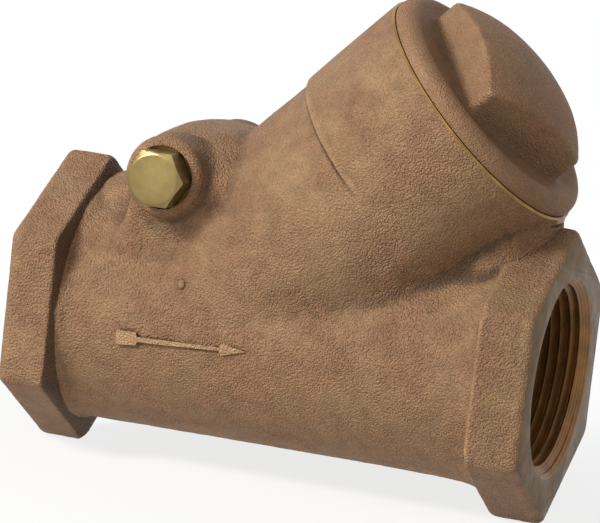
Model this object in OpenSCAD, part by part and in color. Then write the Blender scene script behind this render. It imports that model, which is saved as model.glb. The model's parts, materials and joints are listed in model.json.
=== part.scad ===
// Y-pattern swing check valve, 1-1/4 inch, cast bronze, threaded ends.
// The origin is the centre of the inlet end face. +X follows the flow and +Z is up.
// The bonnet branch leans toward the outlet, and the disc hangs in it from a pin.

/* [Body] */
// Length of the valve from end face to end face
run_l = 116; // [108:1:130]
// Radius of the cast barrel at its waist
barrel_r = 24.1; // [23.2:0.1:25.5]
// How much wider the barrel is where it meets the hexagons
barrel_flare = 1.4; // [0.4:0.1:2]
// Thickness of the seat web across the barrel
web_t = 3.2; // [2.5:0.1:4.5]
// Bore of the inlet passage, radius
passage_r = 19.4; // [18:0.1:19.5]
// Bore of the outlet passage, radius
outlet_r = 19.5; // [18:0.1:19.5]

/* [Threaded ends] */
// Width of the hexagons across their flats
hex_af = 55.6; // [54:0.2:60]
// Rounding of the six cast corners
hex_corner_r = 3; // [1:0.5:5]
// Length of the inlet hexagon along its flats
inlet_hex_l = 10.2; // [8:0.1:14]
// Length of the outlet hexagon along its flats
outlet_hex_l = 11.5; // [8:0.1:14]
// Rounding band between the flats and the machined end face
hex_band = 1.9; // [0.8:0.1:3]
// Effective radius of the pipe thread
port_r = 20.1; // [19.6:0.05:20.6]
// Depth of the pipe thread
port_l = 18; // [15:0.5:20]

/* [Bonnet branch] */
// Where the branch axis crosses the run axis, from the inlet face
branch_x = 38.2; // [36:0.2:42]
// Lean of the branch axis from the run axis, in degrees
branch_lean = 45; // [43:0.5:48]
// Radius of the collar where it meets the bonnet
collar_r = 28.6; // [28.2:0.1:30]
// Step in from the collar to the branch neck
collar_step = 1.55; // [0.8:0.05:2]
// Wall of the collar round the bonnet thread
collar_wall = 4.6; // [4.2:0.1:5]
// Distance of the collar's foot along the branch axis
collar_foot_h = 50.5; // [46:0.5:54]
// Distance of the bonnet joint along the branch axis
joint_h = 76.2; // [74:0.2:82]
// How far the bonnet thread stands back from the chamber below it
thread_step = 1; // [0.8:0.1:1.4]
// How much the chamber narrows from the bonnet down to the seat
chamber_taper = 1.2; // [1:0.1:1.6]
// Length of the bonnet thread below the joint
bonnet_thread_l = 14; // [11:0.5:16]

/* [Bonnet] */
// Height of the rim above the joint
rim_h = 6.1; // [5:0.1:8]
// Rounding radius of the rim
rim_round = 4.6; // [3:0.1:5]
// Width of the rim ring before it falls into the valley
rim_w = 6.4; // [5.5:0.1:7]
// Depth of the valley between the rim and the wrench square
valley_d = 1.4; // [0.6:0.1:2]
// Width of the wrench square across its flats
square_af = 30.4; // [26:0.2:31]
// Height of the crown of the square above the joint
crown_h = 16.1; // [13:0.1:20]
// Radius of the domed crown
crown_r = 42.8; // [36:0.2:60]
// Turn of the square about the branch axis, in degrees
square_turn = 40.4; // [0:0.2:90]
// Wall of the bonnet skirt
skirt_wall = 4; // [3:0.1:5]

/* [Hinge] */
// Distance of the hinge pin from the inlet face
pin_x = 31.1; // [30:0.1:32]
// Height of the hinge pin above the run axis
pin_z = 32.3; // [31.5:0.1:33.5]
// Radius of the hinge pin
pin_r = 3; // [2.5:0.1:3.5]
// Radius of the cast hinge boss at the middle of the valve
boss_mid_r = 10.3; // [9.8:0.1:11]
// Radius of the cast hinge boss at its pads
boss_pad_r = 8.3; // [8:0.1:9]
// Distance of each pad from the middle of the valve
pad_y = 24; // [23:0.2:26]
// Radius of the spot face in each pad
spot_r = 7.1; // [6.9:0.1:7.4]
// Depth of the spot face
spot_d = 0.8; // [0.3:0.1:1.2]

/* [Side plugs] */
// Width of the plug's hexagon across its flats
plug_af = 11.4; // [10:0.1:12]
// Height of the plug's hexagon
plug_head_h = 6.4; // [4.5:0.1:7]
// Radius of the plug's thread
plug_r = 4.8; // [4.4:0.1:5]
// Length of the plug's thread
plug_l = 6; // [4.5:0.1:6.5]

/* [Disc and seat] */
// Distance of the seat face along the branch axis
seat_h = 5; // [4.4:0.1:5.4]
// Room round the disc holder in the chamber
holder_room = 2.8; // [2.4:0.1:3]
// Step in from the disc holder to the raised seat ring
seat_step = 0.6; // [0.4:0.1:1]
// Width of the raised seat ring
seat_ring_w = 2.5; // [2:0.1:3.5]
// Thickness of the soft seat disc
soft_t = 3; // [2.5:0.1:3.4]
// Radius of the threaded stud on each side of the holder
stud_r = 3.6; // [3.2:0.1:4]
// Width of the two stud nuts across their flats
nut_af = 12.7; // [11:0.1:13.5]
// Height of the two stud nuts
nut_h = 3.5; // [3:0.1:4]
// Thickness of the two stud washers
washer_t = 1; // [0.6:0.1:1.4]
// Radius of the split pin through the stud
split_pin_r = 0.7; // [0.5:0.05:0.9]

/* [Hanger] */
// Outer radius of the hanger's eye
eye_r = 5.6; // [5:0.1:6]
// Width of the eye along the pin
eye_w = 14; // [12:0.5:15]
// Outer radius of the hanger's hub
hub_r = 7; // [6.4:0.1:7.6]
// Height of the hub along the branch axis
hub_h = 4.6; // [4:0.1:5.2]
// Thickness of the hanger's arm
arm_t = 3.6; // [3:0.1:4.2]
// Width of the hanger's arm at the hub
arm_w = 10; // [8:0.5:12]

/* [Fits] */
// Running clearance of a shaft in its hole, on the radius
run_gap = 0.06; // [0.03:0.01:0.1]
// Clearance of a pushed fit, on the radius
fit_gap = 0.02; // [0.01:0.01:0.05]
// Clearance of a screwed fit, on the radius
screw_gap = 0.1; // [0.05:0.01:0.15]
// Play of the hanger along the pin and of the holder in the hanger
end_play = 0.3; // [0.1:0.05:0.5]
// Gap of the soft disc over the seat when the valve is shut
shut_gap = 0.05; // [0.02:0.01:0.1]

/* [Hidden] */
$fn = 96;
cut = 0.5;

// Hexagon corners stand at the top and the bottom
hex_vertex_r = hex_af / sqrt(3);
hex_back_l = 4;

// The hinge pin in the branch's own frame: along is its height on the branch axis,
// and behind is its distance from that axis, toward the inlet
pin_along = (pin_x - branch_x) * cos(branch_lean) + pin_z * sin(branch_lean);
pin_behind = pin_z * cos(branch_lean) - (pin_x - branch_x) * sin(branch_lean);

// Radii about the branch axis, from the collar in to the port of the seat
neck_r = collar_r - collar_step;
bonnet_thread_r = collar_r - collar_wall;
chamber_top_r = bonnet_thread_r - thread_step;
chamber_r = chamber_top_r - chamber_taper;
holder_r = chamber_r - holder_room;
seat_ring_r = holder_r - seat_step;
seat_port_r = seat_ring_r - seat_ring_w;

// The stack of parts on the holder, along the branch axis
web_top = seat_h - 2;
web_foot = web_top - web_t;
soft_foot = seat_h + shut_gap;
soft_top = soft_foot + soft_t;
soft_r = holder_r - 1.3;
holder_lip = 0.7;
holder_top = soft_top + 2.4;
shoulder_r = stud_r + 2.2;
shoulder_top = holder_top + 1;
hub_foot = shoulder_top + end_play / 2;
hub_top = hub_foot + hub_h;
hanger_washer_foot = hub_top + end_play / 2;
hanger_nut_foot = hanger_washer_foot + washer_t;
split_eye_r = 1.7 * split_pin_r;
split_pin_h = hanger_nut_foot + nut_h + split_eye_r + 0.2;
stud_top = split_pin_h + split_pin_r + 1;
seat_washer_top = soft_foot + 0.6;
seat_washer_foot = seat_washer_top - washer_t;
seat_nut_foot = seat_washer_foot - nut_h;
stud_foot = seat_nut_foot - 0.8;
washer_r = nut_af / 2 + 0.4;
pocket_half = eye_w / 2 + end_play;
pocket_r = eye_r + 1;
pad_floor = pad_y - spot_d;
plug_hole_l = plug_l + 0.6;
pin_half = pad_floor - plug_hole_l - 0.4;
skirt_r = bonnet_thread_r - screw_gap;
skirt_inner_r = skirt_r - skirt_wall;

// Places children in the branch's frame: its Z is the branch axis
module on_branch() {
    translate([branch_x, 0, 0]) rotate([0, branch_lean, 0]) children();
}

// Turns children about the hinge pin's axis, which runs along Y
module on_pin() {
    translate([pin_x, 0, pin_z]) rotate([90, 0, 0]) children();
}

// A straight disc about the branch axis, between two distances along it
module branch_disc(r, foot, top) {
    translate([0, 0, foot]) cylinder(r = r, h = top - foot);
}

// Hexagonal prism: its edges fall away in a narrow band toward the end face, and its back
// draws in to the round barrel
module hex_block(l) {
    thin = 0.01;
    hull() {
        translate([0, 0, hex_band]) linear_extrude(l - hex_band) hex_outline(0);
        linear_extrude(thin) hex_outline(hex_band);
        translate([0, 0, l + hex_back_l])
            cylinder(r = barrel_r + barrel_flare - thin, h = thin);
    }
}

module hex_outline(inset) {
    offset(r = hex_corner_r, $fn = 32)
        circle(r = hex_vertex_r - (hex_corner_r + inset) / cos(30), $fn = 6);
}

// Lathe outline that slopes the corners at the back of the hexagon down to the barrel
module hex_back(l) {
    reach = hex_vertex_r + 1;
    corner_cut = 2.1;
    slope_end = l + hex_vertex_r - corner_cut;
    rotate_extrude()
        polygon([
            [0, -cut], [reach, -cut], [reach, slope_end - reach],
            [barrel_r, slope_end - barrel_r], [0, slope_end - barrel_r]
        ]);
}

// One threaded end: its hexagon starts at the end face and points inward
module hex_end(l) {
    intersection() {
        hex_block(l);
        hex_back(l);
    }
}

// The cast barrel, waisted between the two hexagons
module barrel() {
    waist = run_l * 0.7;
    rotate([0, 90, 0])
        rotate_extrude()
            polygon([
                [0, inlet_hex_l / 2], [barrel_r + barrel_flare, inlet_hex_l / 2],
                [barrel_r + barrel_flare, inlet_hex_l + 4], [barrel_r, waist],
                [barrel_r + barrel_flare, run_l - outlet_hex_l - 3],
                [barrel_r + barrel_flare, run_l - outlet_hex_l / 2], [0, run_l - outlet_hex_l / 2]
            ]);
}

// The branch neck grows out of the barrel, and its collar carries the bonnet
module branch() {
    foot_r = barrel_r + 0.1;
    neck_full_h = 35;
    step = 1.2;
    on_branch()
        rotate_extrude()
            polygon([
                [0, 0], [foot_r, 0], [neck_r, neck_full_h], [neck_r, collar_foot_h],
                [collar_r - 0.7 - step / 2, collar_foot_h],
                [collar_r - 0.7, collar_foot_h + step], [collar_r, joint_h], [0, joint_h]
            ]);
}

// The cross boss for the hinge pin, fullest in the middle
module hinge_boss() {
    edge = 0.8;
    on_pin()
        rotate_extrude()
            polygon([
                [0, -pad_y], [boss_pad_r - edge, -pad_y], [boss_pad_r, -pad_y + edge],
                [boss_mid_r, 0],
                [boss_pad_r, pad_y - edge], [boss_pad_r - edge, pad_y], [0, pad_y]
            ]);
}

// The casting runs down from under the boss to the side of the barrel
module boss_root() {
    root_y = pad_y - 2.2;
    foot_y = root_y - 2;
    foot_x = boss_mid_r + 3;
    foot_h = barrel_r - 4;
    hull() {
        on_pin()
            cylinder(r = boss_pad_r - 0.6, h = 2 * root_y, center = true, $fn = 32);
        translate([pin_x - foot_x, -foot_y, 0]) cube([2 * foot_x, 2 * foot_y, foot_h / 2]);
    }
}

// Passages, seen as one solid to be cut away
module inlet_way() {
    intersection() {
        rotate([0, 90, 0]) cylinder(r = passage_r, h = run_l / 2);
        on_branch() branch_disc(3 * passage_r, -run_l, web_foot);
    }
}

module outlet_way() {
    intersection() {
        translate([branch_x, 0, 0])
            rotate([0, 90, 0]) cylinder(r = outlet_r, h = run_l - branch_x - port_l / 2);
        on_branch() branch_disc(4 * outlet_r, web_top, run_l);
    }
}

module port(end_x, way) {
    translate([end_x, 0, 0])
        rotate([0, 90 * way, 0])
            translate([0, 0, -cut])
                cylinder(r = port_r, h = port_l + cut);
}

// Room for the hanger's eye and for its arm as the disc swings open
module hinge_pocket() {
    lift_h = 11;
    low = pin_along - pocket_r;
    high = pin_along + pocket_r;
    rotate([90, 0, 0])
        translate([0, 0, -pocket_half])
            linear_extrude(2 * pocket_half) {
                translate([-pin_behind, pin_along]) circle(r = pocket_r);
                polygon([
                    [-pin_behind, low], [0, low - 4], [0, pin_along + lift_h],
                    [-chamber_r, pin_along + lift_h], [2 - pin_behind, high], [-pin_behind, high]
                ]);
            }
}

module chamber() {
    wide_h = 26;
    rotate_extrude()
        polygon([
            [0, web_top], [chamber_r, web_top], [chamber_r, wide_h / 2],
            [chamber_top_r, wide_h], [chamber_top_r, joint_h], [0, joint_h]
        ]);
    branch_disc(bonnet_thread_r, joint_h - bonnet_thread_l - 1, joint_h + cut);
    branch_disc(seat_port_r, web_foot - cut, web_top + cut);
    hinge_pocket();
}

module pin_bores() {
    on_pin() {
        cylinder(r = pin_r + fit_gap, h = 2 * pad_floor, center = true);
        for (turn = [0, 180])
            rotate([turn, 0, 0]) {
                translate([0, 0, pad_floor - plug_hole_l])
                    cylinder(r = plug_r + screw_gap, h = plug_hole_l + cut);
                translate([0, 0, pad_floor]) cylinder(r = spot_r, h = spot_d + cut);
            }
    }
}

// The raised ring that the soft disc closes on
module seat_ring() {
    on_branch()
        difference() {
            branch_disc(seat_ring_r, web_top - cut, seat_h);
            branch_disc(seat_port_r, web_top - 2 * cut, seat_h + cut);
        }
}

module body() {
    color("#9c7a55") {
        difference() {
            union() {
                barrel();
                rotate([0, 90, 0]) hex_end(inlet_hex_l);
                translate([run_l, 0, 0]) rotate([0, -90, 0]) hex_end(outlet_hex_l);
                branch();
                hinge_boss();
                boss_root();
            }
            inlet_way();
            outlet_way();
            port(0, 1);
            port(run_l, -1);
            on_branch() chamber();
            pin_bores();
        }
        seat_ring();
    }
}

// Rim ring, valley and threaded skirt, turned about the branch axis
module bonnet_shell() {
    rim_r = collar_r - 0.5;
    valley_r = rim_r - rim_w;
    top = joint_h + rim_h;
    rotate_extrude()
        difference() {
            union() {
                translate([0, joint_h]) square([rim_r - rim_round, rim_h]);
                translate([0, joint_h]) square([rim_r, rim_h - rim_round]);
                translate([rim_r - rim_round, top - rim_round])
                    intersection() {
                        circle(r = rim_round);
                        square(rim_round);
                    }
                translate([0, joint_h - bonnet_thread_l])
                    square([skirt_r, bonnet_thread_l + cut]);
            }
            translate([0, top - valley_d]) square([valley_r, valley_d + cut]);
            translate([valley_r, top]) circle(r = valley_d);
        }
}

// Wrench square with a domed crown
module wrench_square() {
    intersection() {
        translate([0, 0, joint_h])
            rotate([0, 0, square_turn])
                linear_extrude(crown_h)
                    offset(r = 1.2, $fn = 32) square(square_af - 2.4, center = true);
        translate([0, 0, joint_h + crown_h - crown_r]) sphere(r = crown_r);
    }
}

// The bonnet is cored up into its square
module bonnet_hollow() {
    core_r = square_af / 2 - 4.5;
    core_h = rim_h;
    rotate_extrude()
        polygon([
            [0, joint_h - bonnet_thread_l - cut], [skirt_inner_r, joint_h - bonnet_thread_l - cut],
            [skirt_inner_r, joint_h - 3], [core_r + 3, joint_h + 1], [core_r, joint_h + core_h],
            [0, joint_h + core_h]
        ]);
}

module bonnet() {
    color("#9c7a55")
        on_branch()
            difference() {
                union() {
                    bonnet_shell();
                    wrench_square();
                }
                bonnet_hollow();
            }
}

module hinge_pin() {
    tip = 0.6;
    color("#c2a15a")
        on_pin()
            rotate_extrude()
                polygon([
                    [0, -pin_half], [pin_r - tip, -pin_half], [pin_r, -pin_half + tip],
                    [pin_r, pin_half - tip], [pin_r - tip, pin_half], [0, pin_half]
                ]);
}

// Hexagon plug that closes the end of the pin's bore. Its seat is at Z = 0
module side_plug() {
    head_r = plug_af / sqrt(3);
    edge = head_r - plug_af / 2 + 0.35;
    translate([0, 0, -plug_l]) cylinder(r = plug_r, h = plug_l + cut);
    intersection() {
        cylinder(r = head_r, h = plug_head_h, $fn = 6);
        rotate_extrude()
            polygon([
                [0, 0], [head_r + cut, 0], [head_r + cut, plug_head_h - edge * 0.5 - cut * 0.5],
                [head_r - edge, plug_head_h], [0, plug_head_h]
            ]);
    }
}

module side_plug_front() {
    color("#b8a05a") on_pin() translate([0, 0, pad_floor]) rotate([0, 0, 8]) side_plug();
}

module side_plug_back() {
    color("#b8a05a") on_pin() rotate([180, 0, 0]) translate([0, 0, pad_floor]) side_plug();
}

// Arm of the hanger: a bar in side view, tapering in plan from the eye to the hub
module hanger_arm() {
    inset = 0.6;
    eye_half = eye_w / 2 - inset;
    rib_top = hub_top - inset;
    intersection() {
        rotate([90, 0, 0])
            linear_extrude(eye_w, center = true)
                polygon([
                    [-pin_behind, pin_along - arm_t], [0, hub_foot + inset],
                    [0, rib_top], [1.5 - hub_r, rib_top], [-pin_behind, pin_along + arm_t - 1]
                ]);
        linear_extrude(pin_along + eye_r)
            polygon([
                [-pin_behind, -eye_half], [0, -arm_w / 2], [0, arm_w / 2], [-pin_behind, eye_half]
            ]);
    }
}

module disc_hanger() {
    color("#a8834f")
        difference() {
            union() {
                on_pin() cylinder(r = eye_r, h = eye_w, center = true);
                on_branch() {
                    branch_disc(hub_r, hub_foot, hub_top);
                    hanger_arm();
                }
            }
            on_pin() cylinder(r = pin_r + run_gap, h = eye_w + 2 * cut, center = true);
            on_branch() branch_disc(stud_r + run_gap, hub_foot - cut, hub_top + cut);
        }
}

// Holder for the soft disc, turned in one piece with its two studs
module disc_holder() {
    color("#a8834f")
        on_branch()
            difference() {
                rotate_extrude()
                    polygon([
                        [0, stud_foot], [stud_r - 0.5, stud_foot], [stud_r, stud_foot + 0.5],
                        [stud_r, soft_top], [soft_r + fit_gap, soft_top],
                        [soft_r + fit_gap, soft_foot + holder_lip],
                        [holder_r, soft_foot + holder_lip], [holder_r, holder_top - 1.4],
                        [holder_r - 1.4, holder_top], [shoulder_r, holder_top],
                        [shoulder_r, shoulder_top], [stud_r, shoulder_top],
                        [stud_r, stud_top - 0.5], [stud_r - 0.5, stud_top], [0, stud_top]
                    ]);
                translate([0, 0, split_pin_h])
                    rotate([90, 0, 0])
                        cylinder(r = split_pin_r + fit_gap, h = 3 * stud_r, center = true);
            }
}

module ring(outer_r, inner_r, foot, top) {
    on_branch()
        difference() {
            branch_disc(outer_r, foot, top);
            branch_disc(inner_r, foot - cut, top + cut);
        }
}

module seat_disc() {
    color("#e8e4d8")
        on_branch()
            difference() {
                branch_disc(soft_r, soft_foot, soft_top);
                branch_disc(stud_r + fit_gap, soft_foot - cut, soft_top + cut);
                branch_disc(washer_r + fit_gap, soft_foot - cut, seat_washer_top);
            }
}

module seat_disc_washer() {
    color("#b8a05a") ring(washer_r, stud_r + fit_gap, seat_washer_foot, seat_washer_top);
}

module hanger_washer() {
    color("#b8a05a") ring(washer_r, stud_r + fit_gap, hanger_washer_foot, hanger_nut_foot);
}

// Hexagon nut on the stud, chamfered on both faces
module stud_nut(foot) {
    corner_r = nut_af / sqrt(3);
    edge = corner_r - nut_af / 2;
    on_branch()
        difference() {
            intersection() {
                translate([0, 0, foot]) cylinder(r = corner_r, h = nut_h, $fn = 6);
                translate([0, 0, foot])
                    rotate_extrude()
                        polygon([
                            [0, 0], [corner_r - edge, 0], [corner_r + cut, edge * 0.6 + cut * 0.6],
                            [corner_r + cut, nut_h - (edge + cut) * 0.6],
                            [corner_r - edge, nut_h], [0, nut_h]
                        ]);
            }
            branch_disc(stud_r + fit_gap, foot - cut, foot + nut_h + cut);
        }
}

module seat_disc_nut() {
    color("#b8a05a") stud_nut(seat_nut_foot);
}

module hanger_nut() {
    color("#b8a05a") stud_nut(hanger_nut_foot);
}

// Split pin that keeps the hanger nut from backing off
module nut_split_pin() {
    reach = stud_r + 1.6;
    color("#c9b27a")
        on_branch()
            translate([0, 0, split_pin_h]) {
                rotate([90, 0, 0]) cylinder(r = split_pin_r, h = 2 * reach, center = true);
                translate([0, -reach, 0]) sphere(r = split_eye_r);
            }
}

body();
bonnet();
hinge_pin();
side_plug_front();
side_plug_back();
disc_hanger();
disc_holder();
seat_disc();
seat_disc_washer();
seat_disc_nut();
hanger_washer();
hanger_nut();
nut_split_pin();
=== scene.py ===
# %% [markdown]
# A Y-pattern swing check valve, cast in bronze. Water enters at the hexagon on the left,
# lifts a hinged disc inside the leaning branch, and leaves at the hexagon on the right.
# The engineering model comes in first and never moves. It gives the run's length, the
# pin's place and the branch's lean, so every piece made here is sized and placed from it.

# %% Load the fixed frame
import json
import math

import bpy
import numpy as np
from mathutils import Matrix, Vector


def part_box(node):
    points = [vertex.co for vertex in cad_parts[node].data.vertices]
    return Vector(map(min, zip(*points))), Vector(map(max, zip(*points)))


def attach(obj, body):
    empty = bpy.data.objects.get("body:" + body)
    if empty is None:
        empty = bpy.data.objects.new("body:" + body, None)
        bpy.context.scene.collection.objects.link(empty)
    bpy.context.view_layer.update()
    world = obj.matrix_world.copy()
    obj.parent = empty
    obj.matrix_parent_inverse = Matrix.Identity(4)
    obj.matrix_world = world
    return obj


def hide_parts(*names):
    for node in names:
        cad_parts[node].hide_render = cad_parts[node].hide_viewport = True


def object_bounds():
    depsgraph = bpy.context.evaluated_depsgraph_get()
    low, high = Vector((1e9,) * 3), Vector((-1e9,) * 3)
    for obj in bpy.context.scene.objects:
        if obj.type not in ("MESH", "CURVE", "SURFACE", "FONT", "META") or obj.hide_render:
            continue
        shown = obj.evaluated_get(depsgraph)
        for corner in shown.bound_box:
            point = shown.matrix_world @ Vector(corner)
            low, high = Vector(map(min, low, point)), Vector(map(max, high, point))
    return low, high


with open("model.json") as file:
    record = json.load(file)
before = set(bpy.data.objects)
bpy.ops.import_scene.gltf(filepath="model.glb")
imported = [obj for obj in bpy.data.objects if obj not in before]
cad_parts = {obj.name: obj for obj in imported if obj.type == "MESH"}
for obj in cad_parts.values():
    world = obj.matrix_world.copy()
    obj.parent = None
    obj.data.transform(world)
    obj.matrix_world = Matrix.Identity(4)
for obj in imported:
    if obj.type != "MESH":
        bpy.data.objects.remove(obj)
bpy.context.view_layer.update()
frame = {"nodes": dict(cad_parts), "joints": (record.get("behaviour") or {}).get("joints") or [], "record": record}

mounts = {mount["name"]: mount for mount in frame["record"]["mounts"]}
joints = {joint["name"]: joint for joint in frame["joints"]}
RUN_LENGTH = mounts["outlet_port"]["pos_m"][0] * 1000
PIN_PLACE = Vector(joints["disc_swing"]["pos_m"])
BRANCH_PLACE = Vector(joints["disc_spin"]["pos_m"])
print("run length", round(RUN_LENGTH, 1), "mm, pin at", [round(v, 4) for v in PIN_PLACE])

# %% [markdown]
# Blender works in metres, while a valve is drawn in millimetres, so mm() turns one into
# the other. Most of a valve is turned or bored about one of three axes: the run, the
# branch and the hinge pin. Each gets a matrix that stands a shape made about Z on it.

# %% Axes of the valve
def mm(value):
    return value / 1000


def turn(degrees, axis):
    return Matrix.Rotation(math.radians(degrees), 4, axis)


ON_INLET = turn(90, "Y")
ON_OUTLET = Matrix.Translation((mm(RUN_LENGTH), 0, 0)) @ turn(-90, "Y")
ON_BRANCH = Matrix.Translation(BRANCH_PLACE) @ turn(45, "Y")
ON_PIN = Matrix.Translation(PIN_PLACE) @ turn(90, "X")
print("branch axis", [round(v, 3) for v in ON_BRANCH.col[2][:3]])

# %% [markdown]
# A modelling tool acts on everything that is selected, so each step first selects its own
# piece alone. A piece is then stood on its axis, and its place is put into its mesh, which
# leaves the object itself at the origin, where patterns on it cannot slide.

# %% Helpers for selecting, placing and finishing
def pick(piece):
    bpy.ops.object.select_all(action="DESELECT")
    piece.select_set(True)
    bpy.context.view_layer.objects.active = piece
    return piece


def start_edit(piece):
    pick(piece)
    bpy.ops.object.mode_set(mode="EDIT")
    bpy.ops.mesh.select_all(action="SELECT")


def end_edit():
    bpy.ops.object.mode_set(mode="OBJECT")


def stand(piece, matrix):
    pick(piece)
    piece.matrix_world = matrix @ piece.matrix_world
    bpy.ops.object.transform_apply(location=True, rotation=True, scale=True)
    return piece


def finish_modifiers(piece):
    pick(piece)
    for name in [modifier.name for modifier in piece.modifiers]:
        bpy.ops.object.modifier_apply(modifier=name)
    return piece


# %% [markdown]
# A turned form is drawn as its half outline, radius and height in millimetres. It starts
# as a filled circle, and each step of the outline extrudes that face and scales its rim,
# just as one would by hand with E and S. The last face closes the solid.

# %% Turned forms
def turned(name, outline, sides=96):
    (radius, height), rest = outline[0], outline[1:]
    bpy.ops.object.select_all(action="DESELECT")
    bpy.ops.mesh.primitive_circle_add(
        vertices=sides, radius=mm(radius), fill_type="NGON", location=(0, 0, mm(height))
    )
    piece = bpy.context.object
    piece.name = name
    bpy.ops.object.transform_apply(location=True)
    start_edit(piece)
    for next_radius, next_height in rest:
        rise = (0, 0, mm(next_height - height))
        bpy.ops.mesh.extrude_region_move(TRANSFORM_OT_translate={"value": rise})
        grow = next_radius / radius
        bpy.ops.transform.resize(value=(grow, grow, 1), center_override=(0, 0, mm(next_height)))
        radius, height = next_radius, next_height
    bpy.ops.mesh.select_all(action="SELECT")
    bpy.ops.mesh.normals_make_consistent(inside=False)
    end_edit()
    return piece


def combine(piece, other, operation="DIFFERENCE", solver="MANIFOLD"):
    modifier = piece.modifiers.new("combine", "BOOLEAN")
    modifier.operation = operation
    modifier.solver = solver
    modifier.object = other
    finish_modifiers(piece)
    bpy.data.objects.remove(other)
    return piece


def block(name, low, high):
    size = [mm(b - a) for a, b in zip(low, high)]
    middle = [mm(a + b) / 2 for a, b in zip(low, high)]
    bpy.ops.object.select_all(action="DESELECT")
    bpy.ops.mesh.primitive_cube_add(size=1, location=middle, scale=size)
    piece = bpy.context.object
    piece.name = name
    bpy.ops.object.transform_apply(location=True, rotation=True, scale=True)
    return piece


# %% [markdown]
# The barrel of the body is a lathe form, a little waisted in the middle where the pattern
# was drawn from the sand. The branch starts inside the barrel, widens to the neck and
# steps out to the collar. The hinge boss is a short barrel across the valve, fullest in
# the middle. These three outlines are used twice: to make the forms and to measure how
# far a point lies from each of them.

# %% Outlines of the cast forms
BARREL = [
    (26.4, 5), (26.4, 11), (25.9, 12), (25.6, 13.4), (25.5, 16), (25.45, 20), (25.35, 30),
    (25.15, 45), (24.95, 62), (24.8, 80), (24.85, 92), (25.05, 98), (25.4, 101), (26, 103),
    (26.6, 104.2), (27.2, 105), (27.2, 111),
]
JOINT_H = 76.2
NECK = [
    (24.2, 0), (25.6, 15), (26.8, 30), (27.05, 37), (27.05, 50), (27.4, 56),
    (27.9, JOINT_H + 1.5),
]
BOSS_SKIRT = [
    (5, -21.6), (8.6, -20), (11, -17.6), (13, -14), (14.2, -9.5), (14.4, 0), (14.2, 9.5),
    (13, 14), (11, 17.6), (8.6, 20), (5, 21.6),
]
NECK_BACK = [(25, 20), (27.8, 40), (27.8, 53), (26.8, JOINT_H + 1.5)]
COLLAR = [
    (26, 50.9), (27.75, 50.95), (27.92, 51.06), (28.0, 51.3), (28.02, 51.9), (28.06, 53.3),
    (28.12, 55), (28.17, 57), (28.22, 59), (28.27, 61), (28.31, 63), (28.36, 65),
    (28.41, 67), (28.46, 69), (28.5, 71), (28.55, 73), (28.58, 75), (28.6, JOINT_H + 1.5),
]
BOSS = [
    (5.6, -24.5), (7.4, -24.3), (8.1, -23.6), (8.4, -22.4), (9.2, -16), (9.9, -9),
    (10.3, 0), (9.9, 9), (9.2, 16), (8.4, 22.4), (8.1, 23.6), (7.4, 24.3), (5.6, 24.5),
]
HEX_ACROSS = 55.6
HEX_CORNER = HEX_ACROSS / math.sqrt(3)
print("hexagon corner radius", round(HEX_CORNER, 2), "mm")


# %% [markdown]
# Each end is a hexagon to hold with a wrench. A six-sided cylinder is bevelled all round,
# because cast edges are round. A circle as wide as the barrel is set behind it, and a convex
# hull over both slopes the back. Turning the corners down then bows the ends of the flats. It stands a little proud of the end face: the face is
# cut flat later, which leaves the narrow rounded band that machining leaves on a casting.

# %% Hexagonal ends
def bevel_edges(piece, wanted, width, segments):
    """Rounds the edges for which wanted(first, second) holds, given their two ends."""
    start_edit(piece)
    bpy.ops.mesh.select_mode(type="EDGE")
    bpy.ops.mesh.select_all(action="DESELECT")
    end_edit()
    places = [vertex.co.copy() for vertex in piece.data.vertices]
    for edge in piece.data.edges:
        edge.select = wanted(*(places[v] for v in edge.vertices))
    bpy.ops.object.mode_set(mode="EDIT")
    bpy.ops.mesh.bevel(offset=mm(width), segments=segments, affect="EDGES")
    end_edit()


def upright(first, second):
    return abs(first.z - second.z) > mm(1)


def hexagon_end(name, flat_length, matrix):
    stock = 0.4
    bpy.ops.object.select_all(action="DESELECT")
    bpy.ops.mesh.primitive_cylinder_add(
        vertices=6, radius=mm(HEX_CORNER), depth=mm(flat_length + stock),
        location=(0, 0, mm(flat_length - stock) / 2),
    )
    piece = bpy.context.object
    piece.name = name
    stand(piece, turn(90, "Z"))
    bevel_edges(piece, upright, 1.3, 3)
    bevel_edges(piece, lambda first, second: max(first.z, second.z) < 0, 2, 4)
    start_edit(piece)
    bpy.ops.mesh.select_all(action="DESELECT")
    bpy.ops.mesh.primitive_circle_add(
        vertices=48, radius=mm(25.4), location=(0, 0, mm(flat_length + 1.3))
    )
    bpy.ops.mesh.select_all(action="SELECT")
    bpy.ops.mesh.convex_hull()
    end_edit()
    reach = HEX_CORNER + 2
    slope_end = flat_length + 31
    back = turned("back", [
        (reach, -3), (reach, slope_end - reach), (24, slope_end - 24), (20, slope_end - 23.8),
    ])
    combine(piece, back, "INTERSECT")
    squared(piece, 0.45)
    soften(piece, np.ones(len(piece.data.vertices)), 2, "skin")
    stand(piece, matrix)
    roughen(piece, 0.2, 7, "lumps")
    roughen(piece, 0.16, 1.6, "grains")
    return piece


def cast_core():
    body = stand(turned("cast_body", BARREL), ON_INLET)
    combine(body, stand(turned("branch", NECK), ON_BRANCH), "UNION")
    off_centre = ON_BRANCH @ Matrix.Translation((mm(1.5), 0, 0))
    combine(body, stand(turned("branch_back", NECK_BACK), off_centre), "UNION")
    combine(body, stand(turned("boss", BOSS, 64), ON_PIN), "UNION")
    combine(body, stand(turned("boss_skirt", BOSS_SKIRT, 64), ON_SKIRT), "UNION")
    combine(body, boss_root(), "UNION")
    combine(body, boss_web(), "UNION")
    combine(body, joint_heel(), "UNION")
    return body


# %% [markdown]
# Under the boss the casting runs down to the barrel like the root of a tree, so molten
# bronze can reach the boss. It is a block whose lower end is widened in edit mode.

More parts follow.
